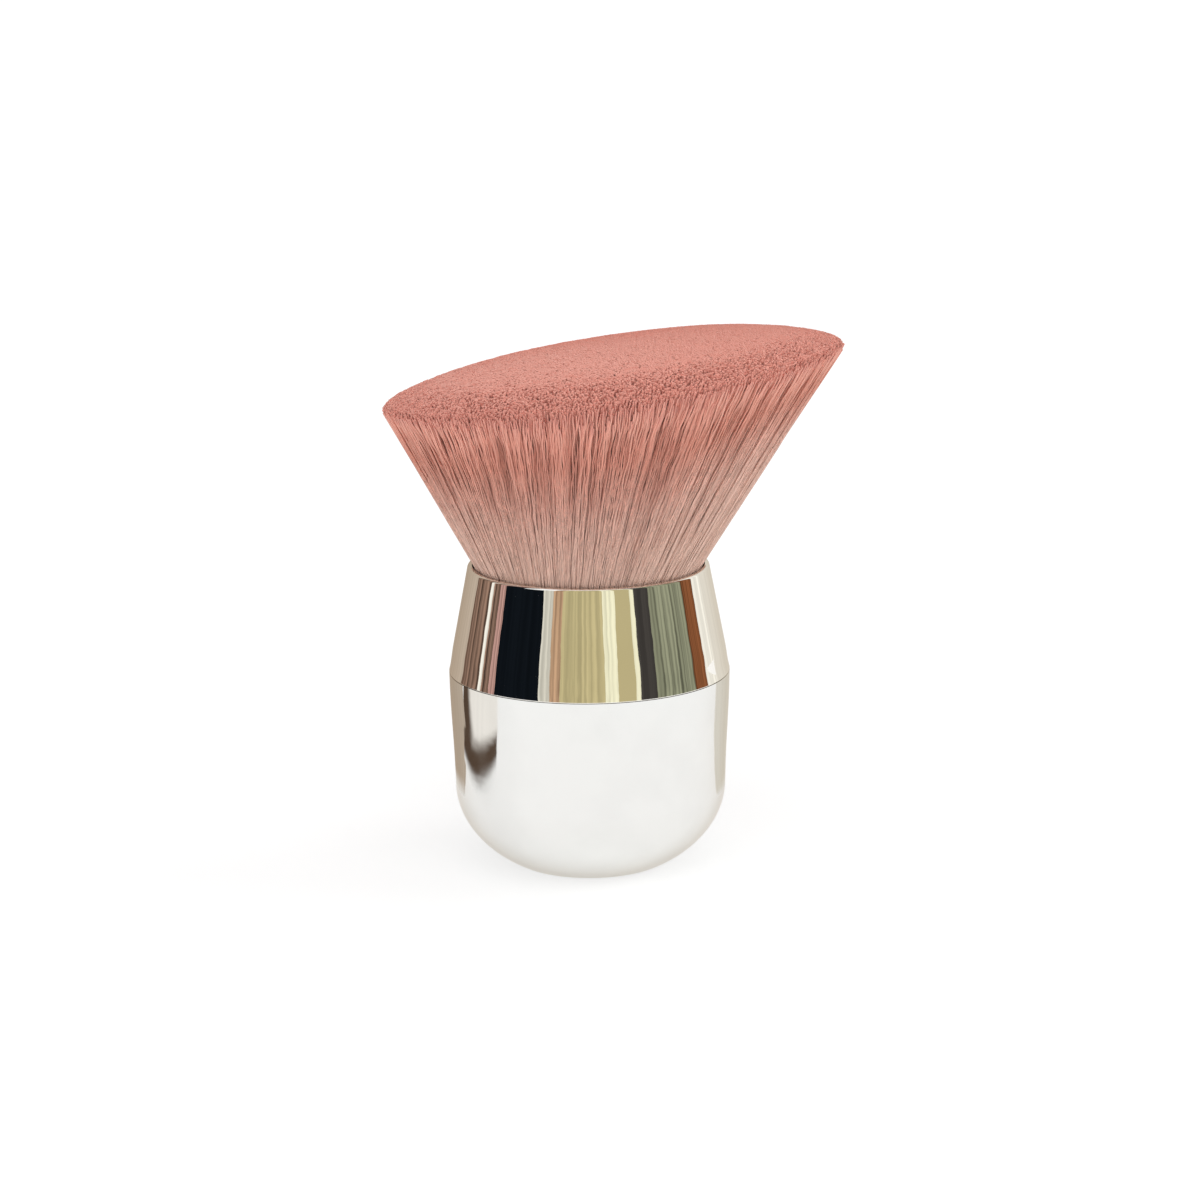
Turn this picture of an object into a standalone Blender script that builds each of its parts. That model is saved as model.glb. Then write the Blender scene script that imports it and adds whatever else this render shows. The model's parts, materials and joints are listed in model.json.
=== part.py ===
"""Angled kabuki makeup brush: a bright two-piece handle with a ballast inside, and a slant-topped tuft.

Metres, +Z up. The origin is the centre of the flat face that the handle stands on, +Z runs up the
handle's axis, and +X points to the tall side of the tuft.
"""

import math

import bmesh
import bpy
from mathutils import Vector

# Between pieces that are glued together
GLUE_GAP = 0.0003
# How far a fused shape reaches into the one that carries it
OVERLAP = 0.0006

# Bowl, the lower half of the handle
BASE_RADIUS = 0.0120
BOWL_HEIGHT = 0.0126
BOWL_RADIUS = 0.02135
BOWL_WALL = 0.0015
FLOOR_THICKNESS = 0.0020

# Crease, the widest ring of the handle, where bowl and collar meet, and how far it swells past the bowl
CREASE_HEIGHT = 0.0308
CREASE_SWELL = 0.00065

# Collar, the cone above the crease: how far its lip is drawn in from the crease, and its straight side's
# foot stands out
RIM_HEIGHT = 0.0477
RIM_DRAW = 0.0032
CONE_FOOT_SWELL = 0.0001
FLARE_HEIGHT = 0.0050
ROLL_HEIGHT = 0.0010
LIP_WALL = 0.00065
LIP_BEVEL = 0.0003
MOUTH_DEPTH = 0.0090
SPIGOT_LENGTH = 0.0042
SPIGOT_WALL = 0.0014
SPIGOT_CHAMFER = 0.0004
LEDGE_THICKNESS = 0.0014
LEDGE_WIDTH = 0.0040

# Cup that the fibre bundle is glued into, which stands on the collar's ledge and ends below the lip
FERRULE_WALL = 0.0007
FERRULE_RECESS = 0.0060

# Cured resin at the fibre roots
BACKING_THICKNESS = 0.0014
ROOT_DEPTH = 0.0097

# Top of the tuft, a slanted and crowned oval
LOW_REACH = 0.0315
HIGH_REACH = 0.0395
HALF_DEPTH = 0.0285
LOW_HEIGHT = 0.0724
HIGH_HEIGHT = 0.0819
CROWN_RISE = 0.0048

# Strands of the tuft, wedges in rings that each hold more than the ring inside them, and the gap between
# neighbours at the top, which narrows with them towards the root
STRAND_RINGS = 8
RING_GROWTH = 10
STRAND_GAP = 0.00045
LIP_CLEARANCE = 0.00035

# Ballast and its pad
PAD_THICKNESS = 0.0010
PAD_RADIUS = 0.0110
BALLAST_RADIUS = 0.0130
BALLAST_HEIGHT = 0.0090
BALLAST_CHAMFER = 0.0008

# Steps round a turned piece and along one of its curves
SHELL_STEPS = 64
INNER_STEPS = 48
CURVE_STEPS = 8
HIDDEN_CURVE_STEPS = 4

SHARP_ANGLE = math.radians(30)

# Radii of the collar, which follows the bowl that carries it
CREASE_RADIUS = BOWL_RADIUS + CREASE_SWELL
CONE_FOOT_RADIUS = CREASE_RADIUS + CONE_FOOT_SWELL
RIM_RADIUS = CREASE_RADIUS - RIM_DRAW


def clear_scene():
    """Removes what the startup scene holds."""
    for item in list(bpy.data.objects):
        bpy.data.objects.remove(item, do_unlink=True)


def make_material(name, colour, metallic, roughness):
    """Returns a Principled material of one linear colour."""
    made = bpy.data.materials.new(name)
    made.use_nodes = True
    made.diffuse_color = (*colour, 1)
    shader = made.node_tree.nodes["Principled BSDF"]
    shader.inputs["Base Color"].default_value = (*colour, 1)
    shader.inputs["Metallic"].default_value = metallic
    shader.inputs["Roughness"].default_value = roughness
    return made


def add_object(name, shape, finish):
    """Turns a bmesh into an object of the scene with one material."""
    bmesh.ops.recalc_face_normals(shape, faces=shape.faces)
    mesh = bpy.data.meshes.new(name)
    shape.to_mesh(mesh)
    shape.free()
    mesh.materials.append(finish)
    mesh.shade_smooth()
    mesh.set_sharp_from_angle(angle=SHARP_ANGLE)
    made = bpy.data.objects.new(name, mesh)
    bpy.context.scene.collection.objects.link(made)
    return made


def circle(radius, height, steps):
    """Returns the points of a level ring, or the one point of a ring with no radius."""
    if radius == 0:
        return [Vector((0, 0, height))]
    angles = [math.tau * step / steps for step in range(steps)]
    return [Vector((radius * math.cos(angle), radius * math.sin(angle), height)) for angle in angles]


def join_rings(shape, lower, upper, steps):
    """Joins two rings of vertices with faces. Either ring may be a single vertex."""
    for step in range(steps):
        after = (step + 1) % steps
        corners = [lower[step % len(lower)], lower[after % len(lower)]]
        corners += [upper[after % len(upper)], upper[step % len(upper)]]
        corners = list(dict.fromkeys(corners))
        if len(corners) > 2:
            shape.faces.new(corners)


def turned(name, profile, steps, finish):
    """Turns a closed profile of (radius, height) points round +Z into one object."""
    shape = bmesh.new()
    rings = []
    for radius, height in profile:
        rings.append([shape.verts.new(point) for point in circle(radius, height, steps)])
    for lower, upper in zip(rings, rings[1:] + rings[:1]):
        if len(lower) > 1 or len(upper) > 1:
            join_rings(shape, lower, upper, steps)
    return add_object(name, shape, finish)


def disc(name, radius, bottom, top, finish):
    """Makes a plain round disc on the axis between two heights."""
    return turned(name, [(0, bottom), (radius, bottom), (radius, top), (0, top)], INNER_STEPS, finish)


def bezier(start, first, second, end):
    """Returns the points of a cubic curve after its start."""
    points = []
    for step in range(1, CURVE_STEPS + 1):
        t = step / CURVE_STEPS
        left = 1 - t
        point = start * left**3 + first * 3 * left**2 * t + second * 3 * left * t**2 + end * t**3
        points.append(tuple(point))
    return points


def wall_radius(height):
    """Outer radius of the bowl between its round bottom and the crease."""
    t = (height - BOWL_HEIGHT) / (CREASE_HEIGHT - BOWL_HEIGHT)
    return BOWL_RADIUS + (CREASE_RADIUS - BOWL_RADIUS) * t * t * (3 - 2 * t)


def cone_radius(height):
    """Radius of the collar's straight side, which would meet the crease at its foot radius."""
    t = (height - CREASE_HEIGHT) / (RIM_HEIGHT - CREASE_HEIGHT)
    return CONE_FOOT_RADIUS + (RIM_RADIUS - CONE_FOOT_RADIUS) * t


def bowl_side(inset, lowest, highest, steps):
    """Returns the bowl's wall, moved in by inset, as an elliptical roll and then the near-straight side."""
    depth = BOWL_HEIGHT / math.sqrt(1 - (BASE_RADIUS / BOWL_RADIUS) ** 2) - inset
    turn = math.asin((BOWL_HEIGHT - lowest) / depth)
    points = []
    for step in range(steps + 1):
        angle = turn * (1 - step / steps)
        points.append(((BOWL_RADIUS - inset) * math.cos(angle), BOWL_HEIGHT - depth * math.sin(angle)))
    for step in range(1, steps + 1):
        height = BOWL_HEIGHT + (highest - BOWL_HEIGHT) * step / steps
        points.append((wall_radius(height) - inset, height))
    return points


# Where the pieces seat on each other
BOWL_TOP = CREASE_HEIGHT - GLUE_GAP
SPIGOT_RADIUS = wall_radius(BOWL_TOP) - BOWL_WALL - GLUE_GAP
SPIGOT_BORE = SPIGOT_RADIUS - SPIGOT_WALL
SPIGOT_FOOT = CREASE_HEIGHT - SPIGOT_LENGTH
LEDGE_TOP = SPIGOT_FOOT + LEDGE_THICKNESS
MOUTH_RADIUS = RIM_RADIUS - LIP_WALL
FERRULE_RADIUS = MOUTH_RADIUS - GLUE_GAP
FERRULE_BORE = FERRULE_RADIUS - FERRULE_WALL
FERRULE_FOOT = LEDGE_TOP + GLUE_GAP
FERRULE_TOP = RIM_HEIGHT - FERRULE_RECESS
RESIN_RADIUS = FERRULE_BORE - GLUE_GAP
ROOT_HEIGHT = RIM_HEIGHT - ROOT_DEPTH
BACKING_FOOT = ROOT_HEIGHT - BACKING_THICKNESS
PAD_FOOT = FLOOR_THICKNESS + GLUE_GAP
PAD_TOP = PAD_FOOT + PAD_THICKNESS

# Where the outermost fibres pass the lip, and where they then start so that they clear the ferrule cup
MOUTH_SPREAD = MOUTH_RADIUS - LIP_CLEARANCE
PASSED_SHARE = (FERRULE_TOP - ROOT_HEIGHT) / ROOT_DEPTH
ROOT_SPREAD = (RESIN_RADIUS - MOUTH_SPREAD * PASSED_SHARE) / (1 - PASSED_SHARE)

# The oval at the top of the tuft
TOP_CENTRE = (HIGH_REACH - LOW_REACH) / 2
TOP_HALF_WIDTH = (HIGH_REACH + LOW_REACH) / 2


def make_base_cup(finish):
    """The bowl: a flat base, a round bottom, a near-straight wall and an open mouth."""
    outside = bowl_side(0, 0, BOWL_TOP, CURVE_STEPS)
    inside = bowl_side(BOWL_WALL, FLOOR_THICKNESS, BOWL_TOP, HIDDEN_CURVE_STEPS)
    profile = [(0, 0)] + outside + inside[::-1] + [(0, FLOOR_THICKNESS)]
    return turned("base_cup", profile, SHELL_STEPS, finish)


def make_collar(finish):
    """The cone: spigot, rolled crease, flared foot, straight side, bevelled lip, bore and inner ledge."""
    crease = Vector((CREASE_RADIUS, CREASE_HEIGHT))
    flare_top = Vector((cone_radius(CREASE_HEIGHT + FLARE_HEIGHT), CREASE_HEIGHT + FLARE_HEIGHT))
    down = Vector((CONE_FOOT_RADIUS - RIM_RADIUS, CREASE_HEIGHT - RIM_HEIGHT)).normalized()
    foot = bezier(crease, crease + Vector((0, ROLL_HEIGHT)), flare_top + down * ROLL_HEIGHT, flare_top)
    profile = [(SPIGOT_BORE - LEDGE_WIDTH, SPIGOT_FOOT), (SPIGOT_RADIUS - SPIGOT_CHAMFER, SPIGOT_FOOT)]
    profile += [(SPIGOT_RADIUS, SPIGOT_FOOT + SPIGOT_CHAMFER), (SPIGOT_RADIUS, CREASE_HEIGHT)]
    profile += [tuple(crease)] + foot
    profile += [(cone_radius(RIM_HEIGHT - LIP_BEVEL), RIM_HEIGHT - LIP_BEVEL)]
    profile += [(RIM_RADIUS - LIP_BEVEL, RIM_HEIGHT), (MOUTH_RADIUS, RIM_HEIGHT)]
    profile += [(MOUTH_RADIUS, RIM_HEIGHT - MOUTH_DEPTH), (SPIGOT_BORE, CREASE_HEIGHT)]
    profile += [(SPIGOT_BORE, LEDGE_TOP), (SPIGOT_BORE - LEDGE_WIDTH, LEDGE_TOP)]
    return turned("collar", profile, SHELL_STEPS, finish)


def make_ferrule_cup(finish):
    """The plain cup that stands on the collar's ledge and holds the fibre bundle."""
    floor = FERRULE_FOOT + FERRULE_WALL
    profile = [(0, FERRULE_FOOT), (FERRULE_RADIUS - FERRULE_WALL / 2, FERRULE_FOOT)]
    profile += [(FERRULE_RADIUS, FERRULE_FOOT + FERRULE_WALL / 2), (FERRULE_RADIUS, FERRULE_TOP)]
    profile += [(FERRULE_BORE, FERRULE_TOP), (FERRULE_BORE, floor), (0, floor)]
    return turned("ferrule_cup", profile, INNER_STEPS, finish)


def make_resin_plug(finish):
    """The cured resin between the ferrule cup's floor and the slice that the strands stand in."""
    bottom = FERRULE_FOOT + FERRULE_WALL + GLUE_GAP
    return disc("resin_plug", RESIN_RADIUS, bottom, BACKING_FOOT - GLUE_GAP, finish)


def make_ballast_pad(finish):
    """The foam disc on the bowl's floor."""
    return disc("ballast_pad", PAD_RADIUS, PAD_FOOT, PAD_TOP, finish)


def make_ballast_weight(finish):
    """The chamfered slug on the pad."""
    foot = PAD_TOP + GLUE_GAP
    top = foot + BALLAST_HEIGHT
    narrow = BALLAST_RADIUS - BALLAST_CHAMFER
    profile = [(0, foot), (narrow, foot), (BALLAST_RADIUS, foot + BALLAST_CHAMFER)]
    profile += [(BALLAST_RADIUS, top - BALLAST_CHAMFER), (narrow, top), (0, top)]
    return turned("ballast_weight", profile, INNER_STEPS, finish)


def top_height(x, y):
    """Height of the tuft's slanted and crowned top over a point of its oval."""
    across = (x - TOP_CENTRE) / TOP_HALF_WIDTH
    deep = y / HALF_DEPTH
    slant = (HIGH_HEIGHT - LOW_HEIGHT) * (across + 1) / 2
    return LOW_HEIGHT + slant + CROWN_RISE * math.sqrt(max(0, 1 - across**2 - deep**2))


def strand_section(ring, place):
    """Returns the corners of a strand's section in the unit disc, a wedge of its ring, clear of its neighbours."""
    count = RING_GROWTH * (ring + 1)
    gap = STRAND_GAP / TOP_HALF_WIDTH
    pitch = (1 + gap) / STRAND_RINGS
    inner = max(ring * pitch, gap / 2 / math.sin(math.pi / count))
    outer = (ring + 1) * pitch - gap
    corners = []
    for radius, side in ((inner, -1), (outer, -1), (outer, 1), (inner, 1)):
        angle = math.tau * place / count + side * (math.pi / count - math.asin(gap / 2 / radius))
        corners.append(radius * Vector((math.cos(angle), math.sin(angle))))
    return corners if ring > 0 else corners[:-1]


def add_strand(shape, section):
    """Adds one strand, which runs from the resin to the lip and then straight to the slanted top."""
    tips = [(TOP_CENTRE + TOP_HALF_WIDTH * corner.x, HALF_DEPTH * corner.y) for corner in section]
    levels = [[(*(ROOT_SPREAD * corner), ROOT_HEIGHT - OVERLAP) for corner in section]]
    levels.append([(*(MOUTH_SPREAD * corner), RIM_HEIGHT) for corner in section])
    levels.append([(*tip, top_height(*tip)) for tip in tips])
    rings = [[shape.verts.new(point) for point in level] for level in levels]
    for lower, upper in zip(rings, rings[1:]):
        join_rings(shape, lower, upper, len(section))
    shape.faces.new(rings[0][::-1])
    shape.faces.new(rings[-1])


def make_bristles(finish):
    """The tuft: every strand fused to the top slice of the resin."""
    bristles = disc("bristles", RESIN_RADIUS, BACKING_FOOT, ROOT_HEIGHT, finish)
    shape = bmesh.new()
    for ring in range(STRAND_RINGS):
        for place in range(RING_GROWTH * (ring + 1)):
            add_strand(shape, strand_section(ring, place))
    strands = add_object("strands", shape, finish)
    strands.hide_render = True
    strands.display_type = "WIRE"
    fuse = bristles.modifiers.new("fuse_strands", "BOOLEAN")
    fuse.operation = "UNION"
    fuse.object = strands
    return bristles


def main():
    clear_scene()
    make_base_cup(make_material("bowl_plating", (0.90, 0.87, 0.83), 1.0, 0.05))
    make_collar(make_material("collar_plating", (0.90, 0.87, 0.83), 1.0, 0.03))
    make_ferrule_cup(make_material("ferrule_aluminium", (0.62, 0.62, 0.63), 1.0, 0.35))
    make_resin_plug(make_material("cured_resin", (0.66, 0.60, 0.45), 0.0, 0.25))
    make_bristles(make_material("pink_fibre", (0.66, 0.33, 0.27), 0.0, 0.65))
    make_ballast_pad(make_material("pad_foam", (0.05, 0.05, 0.05), 0.0, 0.90))
    make_ballast_weight(make_material("ballast_steel", (0.42, 0.42, 0.43), 1.0, 0.45))


if __name__ == "__main__":
    main()
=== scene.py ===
"""Looks of the angled makeup brush: bright plated handle, dense tuft of fine fibres and a plain pale studio.

Metres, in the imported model's own frame. The handle stands on its flat base at the origin, +Z runs up its
axis, and +X points to the tall side of the tuft.
"""

import json
import logging
import math
from collections.abc import Sequence
from dataclasses import dataclass, fields
from enum import Enum

import bmesh
import bpy
from mathutils import Matrix, Vector

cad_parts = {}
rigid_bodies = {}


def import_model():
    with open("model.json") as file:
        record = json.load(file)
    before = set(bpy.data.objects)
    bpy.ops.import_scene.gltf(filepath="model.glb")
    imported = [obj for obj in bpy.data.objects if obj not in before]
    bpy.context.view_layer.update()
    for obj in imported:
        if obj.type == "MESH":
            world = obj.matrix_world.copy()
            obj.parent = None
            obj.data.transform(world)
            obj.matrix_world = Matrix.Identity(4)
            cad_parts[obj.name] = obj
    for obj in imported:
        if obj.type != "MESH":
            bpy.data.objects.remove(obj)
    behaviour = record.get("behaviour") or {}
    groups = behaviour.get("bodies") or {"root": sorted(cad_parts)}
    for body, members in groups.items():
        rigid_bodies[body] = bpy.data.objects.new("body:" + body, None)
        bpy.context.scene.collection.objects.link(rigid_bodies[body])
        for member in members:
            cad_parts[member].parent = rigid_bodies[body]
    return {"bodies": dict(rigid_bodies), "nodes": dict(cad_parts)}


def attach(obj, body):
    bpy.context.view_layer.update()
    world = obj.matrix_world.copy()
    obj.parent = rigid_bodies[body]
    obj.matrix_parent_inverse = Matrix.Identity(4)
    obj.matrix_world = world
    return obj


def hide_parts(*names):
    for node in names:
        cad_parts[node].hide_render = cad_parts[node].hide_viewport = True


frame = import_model()

LOG = logging.getLogger("angled_brush")
BODY = "root"
BAKE_MAP = "OFBake"
MILLIMETRE = 0.001

Colour = tuple[float, float, float]
Span = tuple[float, float]
Profile = list[tuple[float, float]]

NOISE_SPAN: Span = (0.3, 0.7)
SEED_STEP = 10


class Board:
    """A node tree, shader or geometry, that is filled by short calls."""

    def __init__(self, tree: bpy.types.NodeTree) -> None:
        """Takes the tree to fill."""
        self.tree = tree

    def add(self, kind: str, **settings: object) -> bpy.types.Node:
        """Adds one node of a type, with some of its properties."""
        node = self.tree.nodes.new(kind)
        for name, value in settings.items():
            setattr(node, name, value)
        return node

    def join(self, source: "Source", target: bpy.types.NodeSocket) -> None:
        """Links a wire to an input socket, or writes a plain value on it."""
        if isinstance(source, Wire):
            self.tree.links.new(source.socket, target)
        else:
            target.default_value = source

    def call(self, kind: str, inputs: dict, output: str = "", **settings: object) -> "Wire":
        """Adds one node with its properties and inputs by name, and returns the named or first output."""
        node = self.add(kind, **settings)
        for name, source in inputs.items():
            self.join(source, socket_named(node.inputs, name))
        return Wire(self, socket_named(node.outputs, output))

    def maths(self, operation: str, *values: "Source") -> "Wire":
        """Adds a Math node over one, two or three values."""
        node = self.add("ShaderNodeMath", operation=operation)
        for source, target in zip(values, node.inputs):
            self.join(source, target)
        return Wire(self, node.outputs[0])

    def vector_maths(self, operation: str, *values: "Source") -> "Wire":
        """Adds a Vector Math node whose result is a vector."""
        node = self.add("ShaderNodeVectorMath", operation=operation)
        for source, target in zip(values, node.inputs):
            self.join(source, target)
        return Wire(self, node.outputs[0])

    def vector(self, x: "Source", y: "Source", z: "Source") -> "Wire":
        """Combines three numbers into a vector."""
        return self.call("ShaderNodeCombineXYZ", {"X": x, "Y": y, "Z": z})

    def split(self, vector: "Wire") -> list["Wire"]:
        """Splits a vector into its three numbers."""
        node = self.add("ShaderNodeSeparateXYZ")
        self.join(vector, node.inputs[0])
        return [Wire(self, output) for output in node.outputs]

    def blend(self, share: "Source", start: "Source", end: "Source") -> "Wire":
        """Mixes two vectors by a share from 0 to 1."""
        inputs = {"Factor_Float": share, "A_Vector": start, "B_Vector": end}
        return self.call("ShaderNodeMix", inputs, "Result_Vector", data_type="VECTOR", clamp_factor=True)

    def tint(self, share: "Source", start: "Source", end: "Source") -> "Wire":
        """Mixes two colours by a share from 0 to 1."""
        inputs = {"Factor_Float": share, "A_Color": start, "B_Color": end}
        return self.call("ShaderNodeMix", inputs, "Result_Color", data_type="RGBA")

    def spread(self, value: "Source", span: Span, start: "Source" = 0.0, end: "Source" = 1.0) -> "Wire":
        """Maps a value from a span to start and end, smoothly and held at both."""
        inputs = {"Value": value, "From Min": span[0], "From Max": span[1], "To Min": start, "To Max": end}
        return self.call("ShaderNodeMapRange", inputs, interpolation_type="SMOOTHSTEP")


class Wire:
    """An output of a node, which adds, subtracts, multiplies and divides as a number does."""

    def __init__(self, board: Board, socket: bpy.types.NodeSocket) -> None:
        """Takes the board that holds the node and the node's output."""
        self.board = board
        self.socket = socket

    def __add__(self, other: "Source") -> "Wire":
        """Returns this plus other."""
        return self.board.maths("ADD", self, other)

    def __sub__(self, other: "Source") -> "Wire":
        """Returns this minus other."""
        return self.board.maths("SUBTRACT", self, other)

    def __rsub__(self, other: float) -> "Wire":
        """Returns other minus this."""
        return self.board.maths("SUBTRACT", other, self)

    def __mul__(self, other: "Source") -> "Wire":
        """Returns this times other."""
        return self.board.maths("MULTIPLY", self, other)

    def __truediv__(self, other: "Source") -> "Wire":
        """Returns this divided by other."""
        return self.board.maths("DIVIDE", self, other)

    def __pow__(self, other: "Source") -> "Wire":
        """Returns this raised to other."""
        return self.board.maths("POWER", self, other)


Source = Wire | float | int | str | tuple | Vector | bpy.types.Material


def socket_named(sockets: Sequence[bpy.types.NodeSocket], name: str) -> bpy.types.NodeSocket:
    """Finds a socket in use by identifier, or else by name. No name finds the first one."""
    in_use = [socket for socket in sockets if socket.enabled]
    for socket in in_use:
        if name in ("", socket.identifier):
            return socket
    return next(socket for socket in in_use if socket.name == name)


def new_material(name: str) -> tuple[bpy.types.Material, Board, bpy.types.Node]:
    """Starts a material and returns it with its board and its Principled shader."""
    made = bpy.data.materials.new(name)
    made.use_nodes = True
    return made, Board(made.node_tree), made.node_tree.nodes["Principled BSDF"]


def opaque(colour: Colour) -> tuple[float, float, float, float]:
    """Returns a colour with full alpha, as sockets hold it."""
    return (*colour, 1.0)


def set_constants(shader: bpy.types.Node, values: dict[str, float | tuple]) -> None:
    """Writes constants on the shader's own sockets."""
    for name, value in values.items():
        shader.inputs[name].default_value = value


def paint(board: Board, shader: bpy.types.Node, share: Wire, first: Colour, second: Colour) -> None:
    """Mixes the shader's base colour from two colours."""
    board.join(board.tint(share, opaque(first), opaque(second)), shader.inputs["Base Color"])


def object_point(board: Board) -> Wire:
    """Adds the coordinates of the shaded point in the piece's own frame."""
    return board.call("ShaderNodeTexCoord", {}, "Object")


def noise(board: Board, where: Wire, grain: float, detail: float = 2.0) -> Wire:
    """Adds noise, about 0.5 in the middle, whose spots have a size in the same unit as the coordinates."""
    return board.call("ShaderNodeTexNoise", {"Vector": where, "Scale": 1 / grain, "Detail": detail}, "Fac")


@dataclass(frozen=True)
class PlatedMetal:
    """Bright plating over a polished metal shell, with faint hand polish waves and smudges."""

    name: str
    colour: Colour
    shaded_colour: Colour
    roughness: float
    smudged_roughness: float
    edge_colour: Colour = (0.80, 0.76, 0.71)
    wave_size: float = 0.005
    wave_depth: float = 0.000022
    smudge_size: float = 0.009
    smudge_detail: float = 4.0
    shaded_span: Span = (0.42, 0.70)
    smudged_span: Span = (0.45, 0.75)
    scratch_size: float = 0.0016
    scratch_stretch: float = 14.0
    scratch_depth: float = 0.0000006

    def build(self) -> bpy.types.Material:
        """Makes the material."""
        made, board, shader = new_material(self.name)
        where = object_point(board)
        smudge = noise(board, where, self.smudge_size, self.smudge_detail)
        set_constants(shader, {"Metallic": 1.0, "Specular Tint": opaque(self.edge_colour)})
        patch = board.spread(smudge, self.shaded_span)
        paint(board, shader, patch, self.colour, self.shaded_colour)
        rough = board.spread(smudge, self.smudged_span, self.roughness, self.smudged_roughness)
        board.join(rough, shader.inputs["Roughness"])
        waves = noise(board, where, self.wave_size)
        stretched = board.vector_maths("MULTIPLY", where, (1.0, 1.0, self.scratch_stretch))
        scratches = noise(board, stretched, self.scratch_size)
        wavy = board.call("ShaderNodeBump", {"Strength": 1.0, "Distance": self.wave_depth, "Height": waves})
        fine = {"Strength": 1.0, "Distance": self.scratch_depth, "Height": scratches, "Normal": wavy}
        board.join(board.call("ShaderNodeBump", fine), shader.inputs["Normal"])
        return made


@dataclass(frozen=True)
class DyedFibre:
    """Soft synthetic fibre, pale beige at its root and dyed salmon towards its tip, with painted shade in the
    furrows between clumps and painted highlights along the crimp.
    """

    name: str
    colours: tuple[tuple[float, Colour], ...]
    roughness: float = 0.7
    gloss: float = 0.2
    sheen: float = 0.08
    sheen_roughness: float = 0.5
    sheen_tint: Colour = (1.0, 0.9, 0.86)
    strand_tones: float = 90.0
    strand_drift: float = 1.5
    strand_light: Span = (0.80, 1.14)
    crimp_tones: tuple[float, float] = (270.0, 16.0)
    crimp_layer: float = 7.0
    # Painted highlight: brightness span of the light and dark dashes along the crimp.
    crimp_light: Span = (0.82, 1.12)
    calm_span: Span = (0.55, 0.97)
    dye_unevenness: float = 0.20
    # Painted shade: the furrow fields darken the colour towards a deep red in the low places between clumps,
    # over the middle of the fibres' length.
    furrow_rise: Span = (0.30, 0.60)
    furrow_end: Span = (0.84, 0.98)
    furrow_span: Span = (0.1, 0.8)
    furrow_shade: float = 0.42
    furrow_colour: Colour = (0.46, 0.17, 0.125)

    def build(self) -> bpy.types.Material:
        """Makes the material, which reads only the strands' own map: furrow to ridge across, length along."""
        made, board, shader = new_material(self.name)
        where = board.call("ShaderNodeUVMap", {}, uv_map=BAKE_MAP)
        ridge, along, _ = board.split(where)
        tone_place = board.vector(ridge * self.strand_tones, along * self.strand_drift, 0.0)
        tone = noise(board, tone_place, 1.0, detail=1.0)
        across_tones, along_tones = self.crimp_tones
        crimp_place = board.vector(ridge * across_tones, along * along_tones, self.crimp_layer)
        crimp = noise(board, crimp_place, 1.0, detail=1.0)
        ramp = board.add("ShaderNodeValToRGB")
        board.join(along + (tone - 0.5) * self.dye_unevenness, ramp.inputs[0])
        fill_ramp(ramp.color_ramp, self.colours)
        calm = board.spread(along, self.calm_span)
        strand_light = board.spread(tone, NOISE_SPAN, *self.strand_light)
        # Painted highlights: lighter and darker dashes along each fibre's crimp, on top of the random tone of
        # each strand.
        crimp_light = board.spread(crimp, NOISE_SPAN, *self.crimp_light)
        # Painted shade: how far along the fibre, and how deep in a furrow, the colour is darkened towards the
        # furrow's deep red.
        deep = board.spread(along, self.furrow_rise) * board.spread(along, self.furrow_end, 1.0, 0.0)
        shade = board.spread(ridge, self.furrow_span, self.furrow_shade, 0.0) * deep
        light = strand_light * crimp_light * (1.0 - calm) + calm
        # Mixes the dye ramp with the painted furrow shade.
        dyed = board.tint(shade, Wire(board, ramp.outputs["Color"]), opaque(self.furrow_colour))
        lit = board.vector_maths("SCALE", dyed)
        board.join(light, lit.socket.node.inputs["Scale"])
        board.join(lit, shader.inputs["Base Color"])
        set_constants(shader, {"Roughness": self.roughness, "Specular IOR Level": self.gloss})
        set_constants(shader, {"Sheen Weight": self.sheen, "Sheen Roughness": self.sheen_roughness})
        set_constants(shader, {"Sheen Tint": opaque(self.sheen_tint)})
        return made


def fill_ramp(ramp: bpy.types.ColorRamp, stops: Sequence[tuple[float, Colour]]) -> None:
    """Writes the place and linear colour of each stop of a ramp that has two."""
    while len(ramp.elements) < len(stops):
        ramp.elements.new(0.5)
    for element, (place, colour) in zip(ramp.elements, stops):
        element.position = place
        element.color = opaque(colour)


class Pattern(Enum):
    """How a fine pattern is made: as cloudy noise, as rings round the axis or as round cells."""

    CLOUDS = "clouds"
    RINGS = "rings"
    CELLS = "cells"


@dataclass(frozen=True)
class Grain:
    """A fine pattern: its kind, its spots' size in metres, its finer layers and the span that counts."""

    pattern: Pattern
    size: float
    detail: float = 2.0
    span: Span | None = None

    def build(self, board: Board) -> Wire:
        """Adds the bare pattern."""
        where = object_point(board)
        if self.pattern is Pattern.CELLS:
            return board.call("ShaderNodeTexVoronoi", {"Vector": where, "Scale": 1 / self.size}, "Distance")
        if self.pattern is Pattern.RINGS:
            x, y, z = board.split(where)
            where = board.vector(board.maths("SQRT", x * x + y * y), 0.0, z)
        return noise(board, where, self.size, self.detail)

    def counted(self, board: Board, bare: Wire) -> Wire:
        """Spreads the bare pattern over its span, where it has one."""
        return board.spread(bare, self.span) if self.span else bare


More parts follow.
